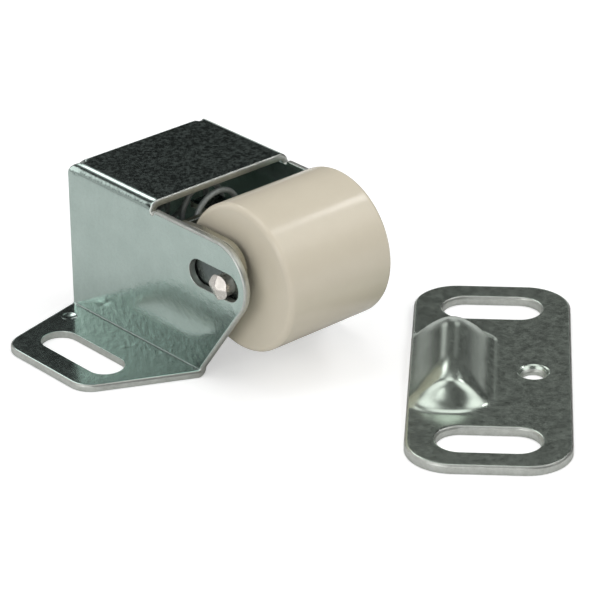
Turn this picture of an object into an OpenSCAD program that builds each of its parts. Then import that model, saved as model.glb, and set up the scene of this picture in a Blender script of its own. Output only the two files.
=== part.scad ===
// Roller catch for a cabinet door: a sprung roller in a folded sheet bracket, with its stamped strike plate.
// All lengths are millimetres. The origin lies on the mounting plane, midway between the bracket's screw slots.
// X runs along the roller's axle, the roller faces -Y, and +Z stands off the mounting plane.
// A distance called "from the rear" is counted from the bracket's rear face towards the roller.

/* [Bracket] */
// Width over the two side walls
bracket_w = 24; // [20:0.5:32]
// Height from the mounting plane to the top plate's upper face
bracket_h = 21.8; // [20:0.1:27]
// Depth of the top plate, from the rear
top_d = 17.4; // [14:0.1:24]
// Thickness of the bracket's sheet
sheet_t = 1; // [0.7:0.1:1.3]
// Inside radius of the bracket's bends
bend_r = 0.6; // [0.4:0.1:0.9]
// How far the side walls' free top edge lies below the top plate's upper face
wall_drop = 1.05; // [0.4:0.05:1.4]
// Width of the bend relief between the top plate and the walls' free edge
relief_w = 1.4; // [0.8:0.1:2]
// Depth of that relief below the free edge
relief_d = 1.1; // [0.8:0.1:1.6]
// Depth of the side walls at the mounting plane, from the rear
foot_d = 26.9; // [25:0.1:30]
// Inside radius of the rear tab's bend
tab_bend_r = 0.25; // [0.15:0.05:0.6]
// Lower edge of the rear tab above the mounting plane
rear_tab_z = 6; // [3:0.5:9]

/* [Ears] */
// Radius of the ears' rounded end
ear_r = 5.43; // [4.8:0.01:6.2]
// Width of the ear slots
ear_slot_w = 4.2; // [4:0.1:4.6]
// Sheet left in front of the ear slot
ear_land = 1.25; // [0.9:0.05:1.8]
// Travel of the axle from rest towards the rear
travel_back = 4; // [2:0.1:4.6]
// Travel of the axle from rest towards the front
travel_front = 1.4; // [0.6:0.1:2]

/* [Screw flanges] */
// Reach of each flange from its side wall
flange_reach = 14.25; // [11:0.25:20]
// Set-back of the outer edge's rear end, from the rear
flange_rear = 3.3; // [2:0.1:4]
// Distance from the rear of the outer edge's front end
flange_front = 19.9; // [19:0.1:22]
// Radius of the flange's outer corners
flange_corner_r = 3.5; // [2:0.1:5]
// Width of the screw slots
slot_w = 5; // [4:0.1:5.6]
// Length of the screw slots over their round ends
slot_l = 14.6; // [8:0.1:15]
// Distance of the slot centres from the rear
slot_rear = 12.4; // [12:0.1:13]
// Distance from a side wall to its slot's centre line
slot_out = 8.1; // [6.5:0.1:9]
// Distance of the stiffening dimple from its side wall, and from the rear
dimple_in = 2.95; // [2:0.05:4]
// Diameter of that dimple's rim
dimple_d = 2.2; // [1.2:0.1:2.6]
// Depth of that dimple
dimple_h = 0.35; // [0.1:0.05:0.45]

/* [Roller and axle] */
// Diameter of the roller
roller_d = 20; // [16:0.5:24]
// Rounding of the roller's rims
rim_r = 0.75; // [0.3:0.05:1.5]
// Diameter of the axle pin
axle_d = 3; // [2.6:0.1:3.5]
// How far each end of the pin stands out of its side wall
axle_proud = 1; // [0.6:0.1:2]
// Running clearance of the roller on the pin, on the radius
roller_fit = 0.08; // [0.03:0.01:0.1]
// Clearance between the pin and the lower edge of the ear slots
slot_fit = 0.05; // [0.03:0.01:0.1]

/* [Yoke] */
// Thickness of the yoke's sheet
yoke_t = 1; // [0.7:0.1:1.3]
// Gap between a yoke arm and its side wall
yoke_gap = 0.2; // [0.1:0.05:0.4]
// Gap between a roller end and its yoke arm
roller_gap = 1.05; // [0.4:0.05:2]
// Gap between the roller and the yoke's web
web_gap = 2.6; // [1:0.1:5]
// Height of the web's upper edge above the ear slots' centre line
web_rise = 2.4; // [1.6:0.1:2.6]
// Height of the arms below the ear slots' centre line
arm_below = 5; // [4.7:0.1:6]
// How far the arms' upper edge lies below the side walls'
arm_drop = 0.15; // [0.1:0.05:0.8]
// Reach of the arms in front of the axle
arm_front = 3.65; // [3.2:0.05:4.5]
// Clearance of the pin in the yoke's arms, on the radius
axle_fit = 0.02; // [0.01:0.01:0.05]

/* [Spring] */
// Mean radius of the coil
coil_r = 4.1; // [3.6:0.1:4.6]
// Diameter of the spring wire
wire_d = 0.8; // [0.4:0.05:1]
// Active turns between the two closed end turns
active_turns = 4; // [3:1:7]
// Clearance between the spring's ends and their seats
spring_fit = 0.05; // [0.02:0.01:0.1]
// Width of the tongue that centres the spring
tongue_w = 4; // [2:0.1:4.6]
// Length of that tongue behind the web
tongue_l = 4; // [2:0.1:6]

/* [Strike plate] */
// Width of the plate across the ridge
strike_w = 21.1; // [18:0.1:26]
// Length of the plate
strike_l = 49.6; // [46:0.1:60]
// Thickness of the plate
strike_t = 1.3; // [0.8:0.1:1.6]
// Radius of the plate's corners
strike_corner_r = 6; // [3:0.1:8]
// Width of the strike's screw slots
strike_slot_w = 6.2; // [4:0.1:7]
// Length of the strike's screw slots over their round ends
strike_slot_l = 13.8; // [9:0.1:15]
// Distance between the two slots' centre lines
strike_slot_pitch = 36.2; // [34:0.1:38]
// Diameter of the fixing hole
pin_hole_d = 2.8; // [2:0.1:3.5]
// Diameter of the fixing hole's countersink at the upper face
countersink_d = 4.2; // [3.6:0.1:5]
// Distance of the fixing hole from the plate's plain long edge
pin_hole_edge = 5; // [3.5:0.1:7]
// Height of the ridge above the plate's upper face
ridge_h = 4.3; // [2.5:0.1:6]
// Width of the ridge at its foot
ridge_w = 10.8; // [9:0.1:13]
// Length of the ridge at its foot
ridge_l = 22.8; // [18:0.1:26]
// Length of the ridge's crest
crest_l = 16; // [10:0.1:17]
// Rounding of the ridge's crest and hips
crest_r = 1.3; // [0.8:0.1:1.8]
// Gap between the roller's front corner and the plate beside it
strike_gap = 2.3; // [1.5:0.1:12]
// Shift of the plate along its own length, from that corner
strike_shift = -3.5; // [-6:0.1:3]
// Turn of the plate about the vertical
strike_turn = -45.8; // [-60:0.1:-30]

/* [Hidden] */
$fn = 64;
// Overlap that lets a cut break cleanly through a face
cut = 0.5;
hull_fn = 28;

zinc = [0.72, 0.75, 0.75];
bright_steel = [0.8, 0.78, 0.76];
spring_steel = [0.45, 0.47, 0.48];
beige_plastic = [0.82, 0.78, 0.69];

// Bracket: half width, outside bend radius, and the heights where the bends end
half_w = bracket_w / 2;
bend_out = bend_r + sheet_t;
foot_z = bend_out;
bend_z = bracket_h - bend_out;
tab_out = tab_bend_r + sheet_t;
tab_z = bracket_h - tab_out;
wall_z = bracket_h - wall_drop;
tab_half_w = half_w - bend_out;

// The chain from the rear face to the axle: spring seat, spring, web, gap, roller
web_ahead = 0.1;
roller_r = roller_d / 2;
axle_r = axle_d / 2;
web_rear = top_d + web_ahead;
axle_rear = web_rear + yoke_t + web_gap + roller_r;
axle_y = y_at(axle_rear);

// Ears: slot and round end, with the axle low in the slot
ear_z = wall_z - ear_r;
ear_slot_r = ear_slot_w / 2;
axle_z = ear_z - ear_slot_r + slot_fit + axle_r;
ear_rear = axle_rear + travel_front + ear_slot_r + ear_land - ear_r;
ear_centre = [y_at(ear_rear), ear_z];

// Flanges: the bend's end and the outer edge
flange_root_x = half_w + bend_r;
flange_out_x = half_w + flange_reach;
slot_x = half_w + slot_out;
dimple_x = half_w + dimple_in;
dimple_r = (pow(dimple_d / 2, 2) + pow(dimple_h, 2)) / (2 * dimple_h);

// Yoke
yoke_half_w = half_w - sheet_t - yoke_gap;
yoke_bend_out = bend_r + yoke_t;
arm_top = wall_z - arm_drop;
arm_bottom = ear_z - arm_below;
arm_corner_r = 2.6;
arm_straight = 0.2;
arm_lower_r = arm_below - arm_straight;
web_top = ear_z + web_rise;
shoulder_gap = 0.4;
shoulder_rear = top_d + travel_back + shoulder_gap;
arm_rise = 3.2;

// Roller and pin: the pinch takes most of the proud length, and leaves a small flat at the tip
roller_l = 2 * (yoke_half_w - yoke_t - roller_gap);
axle_l = bracket_w + 2 * axle_proud;
pinch_share = 0.8;
flat_share = 0.2;
axle_tip_l = pinch_share * axle_proud;
axle_flat = flat_share * axle_r;

// Spring: wire centre line from the rear tab to the web
wire_r = wire_d / 2;
wire_sides = 8;
rings_per_turn = 20;
turns = active_turns + 2;
spring_start = sheet_t + spring_fit + wire_r;
spring_end = web_rear - spring_fit - wire_r;
end_turn_gap = 0.02;
end_pitch = wire_d + end_turn_gap;
active_pitch = (spring_end - spring_start - 2 * end_pitch) / active_turns;

// Strike plate: its edge stands off the roller's front corner
strike_u = [cos(strike_turn), sin(strike_turn)];
strike_v = [-sin(strike_turn), cos(strike_turn)];
roller_corner = [roller_l / 2, axle_y - roller_r];
strike_pos = roller_corner + (strike_gap + strike_w / 2) * strike_u + strike_shift * strike_v;
ridge_edge = -strike_w / 2;
ridge_u = ridge_edge + ridge_w / 2;
ridge_foot_r = 0.8;
ridge_base_h = 0.05;
// Share of the plate's thickness that stays in the drawn ridge
ridge_wall_share = 0.8;
fillet_h = 0.35;
fillet_w = 0.7;

// Y of a point at a distance from the rear face
function y_at(rear) = slot_rear - rear;

function unit(v) = v / norm(v);

function corner_angle(a, b, c) = acos(unit(a - b) * unit(c - b));

// Where the two sides of corner b leave its rounding of radius r
function rounding(a, b, c, r) =
    let (s = r / tan(corner_angle(a, b, c) / 2))
    r == 0 ? [b] : [b + s * unit(a - b), b + s * unit(c - b)];

function rounding_centre(a, b, c, r) =
    b + r / sin(corner_angle(a, b, c) / 2) * unit(unit(a - b) + unit(c - b));

// Point where a line from p touches a circle on its front side
function touch_point(p, centre, r) =
    let (d = centre - p, aim = atan2(d.y, d.x) + asin(r / norm(d)), reach = sqrt(d * d - r * r))
    p + reach * [cos(aim), sin(aim)];

// Centre line of the spring after t turns, as its distance from the rear
function coil_rear(t) =
    t < 1 ? spring_start + end_pitch * t
    : t < turns - 1 ? spring_start + end_pitch + active_pitch * (t - 1)
    : spring_end - end_pitch * (turns - t);

// Convex outline with a radius for each corner
module rounded_outline(points, radii) {
    n = len(points);
    polygon([for (i = [0:n - 1])
        each rounding(points[(i + n - 1) % n], points[i], points[(i + 1) % n], radii[i])]);
    for (i = [0:n - 1])
        if (radii[i] > 0)
            translate(rounding_centre(points[(i + n - 1) % n], points[i], points[(i + 1) % n], radii[i]))
                circle(radii[i]);
}

// Outline of a slot with round ends, along the first axis
module slot_outline(length, width) {
    square([length - width, width], center = true);
    for (side = [-1, 1])
        translate([side * (length - width) / 2, 0])
            circle(width / 2);
}

// A side view, drawn as Y and Z, made solid across the width
module across(width) {
    rotate([90, 0, 90])
        linear_extrude(width, center = true)
            children();
}

// A front view, drawn as X and Z, made solid from one distance from the rear to another
module forward(rear, front) {
    translate([0, y_at(rear), 0])
        rotate([90, 0, 0])
            linear_extrude(front - rear)
                children();
}

module both_sides() {
    for (side = [0, 1])
        mirror([side, 0, 0])
            children();
}

// A bracket bend: a quarter ring below and inside its centre
module bend_section(inner, outer) {
    intersection() {
        difference() {
            circle(outer);
            circle(inner);
        }
        translate([-outer, -outer])
            square(outer);
    }
}

// Front view of the top plate and the walls below its bends
module top_section() {
    difference() {
        rounded_outline(
            [[-half_w, foot_z], [half_w, foot_z], [half_w, bracket_h], [-half_w, bracket_h]],
            [0, 0, bend_out, bend_out]);
        rounded_outline(
            [[sheet_t - half_w, foot_z - cut], [half_w - sheet_t, foot_z - cut],
             [half_w - sheet_t, bracket_h - sheet_t], [sheet_t - half_w, bracket_h - sheet_t]],
            [0, 0, bend_r, bend_r]);
    }
}

// Front view of the walls ahead of the top plate
module wall_section() {
    both_sides()
        translate([half_w - sheet_t, foot_z])
            square([sheet_t, wall_z - foot_z]);
}

// Front view of the bends between walls and flanges
module foot_section() {
    both_sides()
        translate([flange_root_x, foot_z])
            bend_section(bend_r, bend_out);
}

// Side view of the bracket: bent rear corner, top plate, ear and slanted front edge
module bracket_side() {
    foot = [y_at(foot_d), foot_z];
    touch = touch_point(foot, ear_centre, ear_r);
    difference() {
        polygon([
            [y_at(0), 0], [y_at(foot_d), 0], foot, touch,
            [ear_centre.x, wall_z], [y_at(top_d), wall_z],
            [y_at(top_d), bracket_h], [y_at(tab_out), bracket_h], [y_at(0), tab_z]
        ]);
        bend_relief();
    }
    translate([y_at(tab_out), tab_z])
        circle(tab_out);
    translate(ear_centre)
        circle(ear_r);
}

// Side view of the round-ended notch that keeps the top bend from tearing the wall
module bend_relief() {
    r = relief_w / 2;
    translate([y_at(top_d) - r, wall_z - relief_d + r]) {
        circle(r);
        translate([-r, 0])
            square([relief_w, relief_d]);
    }
}

module flange_outline() {
    rounded_outline(
        [[flange_root_x, y_at(0)], [flange_out_x, y_at(flange_rear)],
         [flange_out_x, y_at(flange_front)], [flange_root_x, y_at(foot_d)]],
        [0, flange_corner_r, flange_corner_r, 0]);
}

// Side view of the tab that turns down from the top plate's rear edge
module rear_tab_side() {
    translate([y_at(tab_out), tab_z])
        rotate(180)
            bend_section(tab_bend_r, tab_out);
    translate([y_at(sheet_t), rear_tab_z])
        square([sheet_t, tab_z - rear_tab_z]);
}

module ear_slots() {
    translate([0, y_at(axle_rear + (travel_front - travel_back) / 2), ear_z])
        rotate([0, 90, 0])
            linear_extrude(bracket_w + 2 * cut, center = true)
                rotate(90)
                    slot_outline(travel_front + travel_back + ear_slot_w, ear_slot_w);
}

module bracket() {
    color(zinc)
        difference() {
            union() {
                difference() {
                    intersection() {
                        union() {
                            forward(0, top_d)
                                top_section();
                            forward(top_d, ear_rear + ear_r + cut)
                                wall_section();
                            forward(0, foot_d)
                                foot_section();
                        }
                        across(2 * flange_out_x)
                            bracket_side();
                    }
                    translate([-tab_half_w, y_at(tab_out), tab_z])
                        cube([2 * tab_half_w, tab_out + cut, tab_out + cut]);
                }
                across(2 * tab_half_w)
                    rear_tab_side();
                both_sides()
                    linear_extrude(sheet_t)
                        flange_outline();
            }
            ear_slots();
            both_sides() {
                translate([slot_x, y_at(slot_rear), -cut])
                    linear_extrude(sheet_t + 2 * cut)
                        rotate(90)
                            slot_outline(slot_l, slot_w);
                translate([dimple_x, y_at(dimple_in), sheet_t + dimple_r - dimple_h])
                    sphere(dimple_r);
            }
        }
}

// Plan of the yoke: a web and two arms with bent corners
module yoke_plan() {
    front = y_at(axle_rear + arm_front + cut);
    difference() {
        rounded_outline(
            [[-yoke_half_w, front], [yoke_half_w, front],
             [yoke_half_w, y_at(web_rear)], [-yoke_half_w, y_at(web_rear)]],
            [0, 0, yoke_bend_out, yoke_bend_out]);
        rounded_outline(
            [[yoke_t - yoke_half_w, front - cut], [yoke_half_w - yoke_t, front - cut],
             [yoke_half_w - yoke_t, y_at(web_rear + yoke_t)], [yoke_t - yoke_half_w, y_at(web_rear + yoke_t)]],
            [0, 0, bend_r, bend_r]);
    }
}

// Side view of the yoke: the arms' upper edge falls to the web so that it passes under the top plate
module yoke_side() {
    front = y_at(axle_rear + arm_front);
    rounded_outline(
        [[y_at(web_rear), arm_bottom], [front, arm_bottom], [front, arm_top],
         [y_at(shoulder_rear + arm_rise), arm_top], [y_at(shoulder_rear), bend_z], [y_at(web_rear), web_top]],
        [0, arm_lower_r, arm_corner_r, 0, 0, 0]);
}

// Tongue that turns back from the web's upper edge into the coil
module tongue() {
    across(tongue_w)
        difference() {
            translate([y_at(web_rear + yoke_t), web_top - yoke_t])
                square([tongue_l + yoke_t, yoke_t]);
            difference() {
                translate([y_at(web_rear + yoke_t), web_top - yoke_t])
                    square(yoke_t);
                translate([y_at(web_rear), web_top - yoke_t])
                    circle(yoke_t);
            }
        }
}

module yoke() {
    color(zinc)
        difference() {
            union() {
                intersection() {
                    translate([0, 0, arm_bottom])
                        linear_extrude(arm_top - arm_bottom)
                            yoke_plan();
                    across(2 * yoke_half_w + cut)
                        yoke_side();
                    around_tongue_bend();
                }
                tongue();
            }
            axle_cylinder(axle_r + axle_fit, bracket_w);
        }
}

// Everything but the web's square top corner where the tongue bends back
module around_tongue_bend() {
    difference() {
        translate([-bracket_w, y_at(axle_rear + arm_front + cut), 0])
            cube([2 * bracket_w, axle_rear + arm_front, bracket_h]);
        across(tongue_w)
            difference() {
                translate([y_at(web_rear + yoke_t), web_top - yoke_t])
                    square([yoke_t, yoke_t + cut]);
                translate([y_at(web_rear), web_top - yoke_t])
                    circle(yoke_t);
            }
    }
}

// A cylinder on the axle's line, centred between the walls
module axle_cylinder(r, length) {
    translate([0, axle_y, axle_z])
        rotate([0, 90, 0])
            cylinder(r = r, h = length, center = true);
}

// One flat of the pin's pinched end, as the metal that the pinch takes away
module pinch() {
    slope = atan2(axle_r - axle_flat, axle_tip_l);
    translate([axle_l / 2 - axle_tip_l, -axle_d, axle_r])
        rotate([0, slope, 0])
            cube([axle_d + axle_l, 2 * axle_d, axle_d]);
}

module axle_pin() {
    color(bright_steel)
        difference() {
            axle_cylinder(axle_r, axle_l);
            translate([0, axle_y, axle_z])
                both_sides()
                    for (turn = [45:90:315])
                        rotate([turn, 0, 0])
                            pinch();
        }
}

module roller() {
    bore_r = axle_r + roller_fit;
    color(beige_plastic)
        translate([0, axle_y, axle_z])
            rotate([0, 90, 0])
                rotate_extrude()
                    rounded_outline(
                        [[bore_r, -roller_l / 2], [roller_r, -roller_l / 2],
                         [roller_r, roller_l / 2], [bore_r, roller_l / 2]],
                        [0, rim_r, rim_r, 0]);
}

// The wire, swept in rings along a coil whose end turns lie closed
module spring() {
    last = turns * rings_per_turn;
    points = [for (i = [0:last], k = [0:wire_sides - 1])
        let (
            t = i / rings_per_turn,
            a = 360 * t - 90,
            b = 360 * k / wire_sides,
            r = coil_r + wire_r * cos(b)
        )
        [r * cos(a), y_at(coil_rear(t) + wire_r * sin(b)), ear_z + r * sin(a)]];
    sides = [for (i = [0:last - 1], k = [0:wire_sides - 1])
        let (next = (k + 1) % wire_sides, here = i * wire_sides, there = here + wire_sides)
        [here + k, there + k, there + next, here + next]];
    start_cap = [for (k = [0:wire_sides - 1]) k];
    end_cap = [for (k = [wire_sides - 1:-1:0]) last * wire_sides + k];
    color(spring_steel)
        polyhedron(points, concat(sides, [start_cap, end_cap]));
}

module strike_outline() {
    x = strike_w / 2;
    y = strike_l / 2;
    rounded_outline([[-x, -y], [x, -y], [x, y], [-x, y]], [for (i = [1:4]) strike_corner_r]);
}

// A hipped ridge: a rounded crest over a rectangular foot, grown or shrunk by inset
module ridge_form(inset, foot_level) {
    r = crest_r - inset;
    foot_x = ridge_w / 2 - inset - ridge_foot_r;
    foot_y = ridge_l / 2 - inset - ridge_foot_r;
    translate([ridge_u, 0, foot_level])
        hull() {
            for (side = [-1, 1]) {
                translate([0, side * (crest_l / 2 - crest_r), strike_t + ridge_h - foot_level - crest_r])
                    sphere(r, $fn = hull_fn);
                for (end = [-1, 1])
                    translate([side * foot_x, end * foot_y, 0])
                        cylinder(r = ridge_foot_r, h = ridge_base_h, $fn = hull_fn);
            }
        }
}

// Low skirt that eases the ridge's foot into the plate
module ridge_fillet() {
    foot_x = ridge_w / 2 - ridge_foot_r;
    foot_y = ridge_l / 2 - ridge_foot_r;
    translate([ridge_u, 0, strike_t - fillet_h])
        hull()
            for (side = [-1, 1], end = [-1, 1])
                translate([side * foot_x, end * foot_y, 0])
                    cylinder(r1 = ridge_foot_r + fillet_w + fillet_h, r2 = ridge_foot_r - fillet_h,
                        h = 2 * fillet_h, $fn = hull_fn);
}

module strike_plate() {
    hole_u = strike_w / 2 - pin_hole_edge;
    countersink_h = (countersink_d - pin_hole_d) / 2;
    color(zinc)
        translate(strike_pos)
            rotate(strike_turn)
                difference() {
                    union() {
                        linear_extrude(strike_t)
                            strike_outline();
                        intersection() {
                            linear_extrude(strike_t + ridge_h + cut)
                                strike_outline();
                            union() {
                                ridge_form(0, strike_t - ridge_base_h);
                                ridge_fillet();
                            }
                        }
                    }
                    ridge_form(ridge_wall_share * strike_t, -ridge_base_h);
                    for (end = [-1, 1])
                        translate([0, end * strike_slot_pitch / 2, -cut])
                            linear_extrude(strike_t + 2 * cut)
                                slot_outline(strike_slot_l, strike_slot_w);
                    translate([hole_u, 0, -cut])
                        cylinder(d = pin_hole_d, h = strike_t + 2 * cut);
                    translate([hole_u, 0, strike_t - countersink_h])
                        cylinder(d1 = pin_hole_d, d2 = countersink_d, h = countersink_h);
                }
}

bracket();
yoke();
axle_pin();
roller();
spring();
strike_plate();
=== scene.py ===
"""Looks of a cabinet roller catch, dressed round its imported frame.

The bracket, the yoke and the strike plate are formed anew from flat patterns with rolled edges, the spring is
swept anew, the pin's edges are softened, and the roller keeps its solid's form. Every piece gets a procedural
finish. Lengths are metres in the part's own frame: X along the axle, the roller towards -Y, Z up.
"""

import logging
import math
from dataclasses import dataclass
from enum import Enum
from typing import Callable, Iterable

import bmesh
import bpy
from mathutils import Matrix, Vector
from mathutils.geometry import delaunay_2d_cdt
from mathutils.kdtree import KDTree


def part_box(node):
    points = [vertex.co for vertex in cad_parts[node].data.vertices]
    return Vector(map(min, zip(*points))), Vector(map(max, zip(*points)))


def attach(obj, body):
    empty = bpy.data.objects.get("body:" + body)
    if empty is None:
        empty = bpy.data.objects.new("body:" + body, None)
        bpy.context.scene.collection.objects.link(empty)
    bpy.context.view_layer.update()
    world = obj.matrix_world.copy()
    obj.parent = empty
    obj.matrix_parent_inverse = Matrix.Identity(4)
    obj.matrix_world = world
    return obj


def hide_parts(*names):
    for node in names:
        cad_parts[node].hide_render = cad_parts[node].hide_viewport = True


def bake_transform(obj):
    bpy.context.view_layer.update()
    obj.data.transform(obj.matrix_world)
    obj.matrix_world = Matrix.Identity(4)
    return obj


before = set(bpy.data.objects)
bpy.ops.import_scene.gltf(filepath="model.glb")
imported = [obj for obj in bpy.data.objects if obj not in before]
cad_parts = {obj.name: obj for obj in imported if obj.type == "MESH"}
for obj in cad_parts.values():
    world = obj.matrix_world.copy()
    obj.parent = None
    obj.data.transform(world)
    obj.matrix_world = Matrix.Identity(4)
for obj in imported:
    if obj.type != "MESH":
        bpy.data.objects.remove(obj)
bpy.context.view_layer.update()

LOG = logging.getLogger("roller_catch")
MM = 0.001
RING_RUNS = 71
RING_STEP_DEG = 5.0
SLOT_RUNS = 20
EAR_RUNS = 24
Colour = tuple[float, float, float]
Point2 = tuple[float, float]


class Body(Enum):
    """The rigid bodies that pieces ride on."""

    CATCH = "catch"
    CARRIAGE = "carriage"
    ROLLER = "roller"


class Node(Enum):
    """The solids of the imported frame."""

    BRACKET = "bracket"
    YOKE = "yoke"
    AXLE_PIN = "axle_pin"
    ROLLER = "roller"
    SPRING = "spring"
    STRIKE_PLATE = "strike_plate"


class SheetFace(Enum):
    """The two finishes of a stamped sheet, as material slots of its piece."""

    PLATED = 0
    SHEARED = 1


def smooth_min(a: float, b: float, blend: float) -> float:
    """Returns the lesser of two heights, with the crossing rounded over.

    Args:
        a: The first height.
        b: The second height.
        blend: The difference of heights below which the two merge.

    Returns:
        The blended lesser height.
    """
    near = max(blend - abs(a - b), 0.0) / blend
    return min(a, b) - near * near * blend / 4


def smooth_max(a: float, b: float, blend: float) -> float:
    """Returns the greater of two heights, rounded where they cross, as smooth_min does for the lesser."""
    return -smooth_min(-a, -b, blend)


def link_piece(name: str, mesh: bpy.types.Mesh) -> bpy.types.Object:
    """Puts a mesh into the scene.

    Args:
        name: The piece's name.
        mesh: Its mesh, in the part's frame.

    Returns:
        The new object.
    """
    piece = bpy.data.objects.new(name, mesh)
    bpy.context.scene.collection.objects.link(piece)
    return piece


def smooth_mesh(form: bmesh.types.BMesh, name: str) -> bpy.types.Mesh:
    """Turns a form into a mesh with smooth shading, and frees the form.

    Args:
        form: The form.
        name: The mesh's name.

    Returns:
        The new mesh.
    """
    mesh = bpy.data.meshes.new(name)
    form.to_mesh(mesh)
    form.free()
    mesh.shade_smooth()
    return mesh


def keep_flats(piece: bpy.types.Object) -> None:
    """Weighs a piece's normals by area, so that flat faces stay flat beside rounded edges."""
    weigh = piece.modifiers.new("flat_faces", "WEIGHTED_NORMAL")
    weigh.weight = 100


def box_middle(node: Node) -> Vector:
    """Returns the middle of a solid's box."""
    low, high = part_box(node.value)
    return (Vector(low) + Vector(high)) / 2


class Shader:
    """A node tree with short calls for adding and joining nodes."""

    def __init__(self, tree: bpy.types.NodeTree) -> None:
        """Keeps the tree that the calls work on."""
        self.tree = tree

    def add(self, kind: str, inputs: dict[str, object] | None = None, **settings: object) -> bpy.types.Node:
        """Adds a node.

        Args:
            kind: Blender's name for the node type.
            inputs: Socket names with their set values, or with the output sockets that feed them.
            **settings: Properties of the node itself.

        Returns:
            The new node.
        """
        node = self.tree.nodes.new(kind)
        for key, value in settings.items():
            setattr(node, key, value)
        for key, value in (inputs or {}).items():
            self.feed(node.inputs[key], value)
        return node

    def feed(self, socket: bpy.types.NodeSocket, value: object) -> None:
        """Sets a socket's value, or links it where the value is another socket."""
        if isinstance(value, bpy.types.NodeSocket):
            self.tree.links.new(value, socket)
        else:
            socket.default_value = value

    def math(self, operation: str, first: object, second: object) -> bpy.types.NodeSocket:
        """Adds a Math node.

        Args:
            operation: Blender's name for the operation.
            first: The first number or socket.
            second: The second number or socket.

        Returns:
            The node's output socket.
        """
        node = self.tree.nodes.new("ShaderNodeMath")
        node.operation = operation
        for socket, value in zip(node.inputs, (first, second)):
            self.feed(socket, value)
        return node.outputs[0]

    def mix(self, factor: object, first: object, second: object) -> bpy.types.NodeSocket:
        """Adds a colour mix.

        Args:
            factor: How much of the second colour shows, from 0 to 1.
            first: The first colour or socket.
            second: The second colour or socket.

        Returns:
            The mixed colour's socket.
        """
        node = self.tree.nodes.new("ShaderNodeMix")
        node.data_type = "RGBA"
        for socket, value in zip((node.inputs[0], node.inputs[6], node.inputs[7]), (factor, first, second)):
            self.feed(socket, value)
        return node.outputs[2]

    def spread(self, value: bpy.types.NodeSocket, low: object, high: object) -> bpy.types.NodeSocket:
        """Maps a value from 0 to 1 onto a range.

        Args:
            value: The socket that holds the value.
            low: What 0 becomes, as a number or socket.
            high: What 1 becomes, as a number or socket.

        Returns:
            The mapped value's socket.
        """
        node = self.add("ShaderNodeMapRange", {"Value": value, "To Min": low, "To Max": high})
        return node.outputs["Result"]

    def widen(self, value: bpy.types.NodeSocket, low: object, high: object) -> bpy.types.NodeSocket:
        """Maps a value from its own range onto 0 to 1.

        Args:
            value: The socket that holds the value.
            low: What becomes 0, as a number or socket.
            high: What becomes 1, as a number or socket.

        Returns:
            The mapped value's socket.
        """
        node = self.add("ShaderNodeMapRange", {"Value": value, "From Min": low, "From Max": high})
        return node.outputs["Result"]


@dataclass(frozen=True)
class GroupSocket:
    """One input or output of a shared shader effect."""

    name: str
    kind: str
    default: float | tuple[float, float, float, float] | None = None


class Effect:
    """A shader node group that several finishes place with their own values."""

    def __init__(self, name: str, inputs: Iterable[GroupSocket], outputs: Iterable[GroupSocket],
                 build: Callable[[Shader, bpy.types.Node, bpy.types.Node], None]) -> None:
        """Builds the group once.

        Args:
            name: The group's name.
            inputs: Its named inputs.
            outputs: Its named outputs.
            build: A function that fills the group between its input and output nodes.
        """
        self.tree = bpy.data.node_groups.new(name, "ShaderNodeTree")
        for socket in inputs:
            made = self.tree.interface.new_socket(socket.name, in_out="INPUT", socket_type=socket.kind)
            if socket.default is not None:
                made.default_value = socket.default
        for socket in outputs:
            self.tree.interface.new_socket(socket.name, in_out="OUTPUT", socket_type=socket.kind)
        shader = Shader(self.tree)
        build(shader, shader.add("NodeGroupInput"), shader.add("NodeGroupOutput"))

    def place(self, shader: Shader, inputs: dict[str, object]) -> bpy.types.Node:
        """Places the group in a material.

        Args:
            shader: The material's shader.
            inputs: Values for the group's inputs.

        Returns:
            The group node.
        """
        node = shader.add("ShaderNodeGroup", node_tree=self.tree)
        for key, value in inputs.items():
            shader.feed(node.inputs[key], value)
        return node


FLOAT = "NodeSocketFloat"
COLOUR = "NodeSocketColor"
NOISE_LOW = 0.3
NOISE_HIGH = 0.7
CLOUD_SHARE = 0.6
PATCH_MIDDLE = 0.53
STREAK_LOW = 0.35
STREAK_HIGH = 0.65


def rgba(colour: Colour) -> tuple[float, float, float, float]:
    """Returns a colour with full alpha."""
    return (*colour, 1.0)


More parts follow.
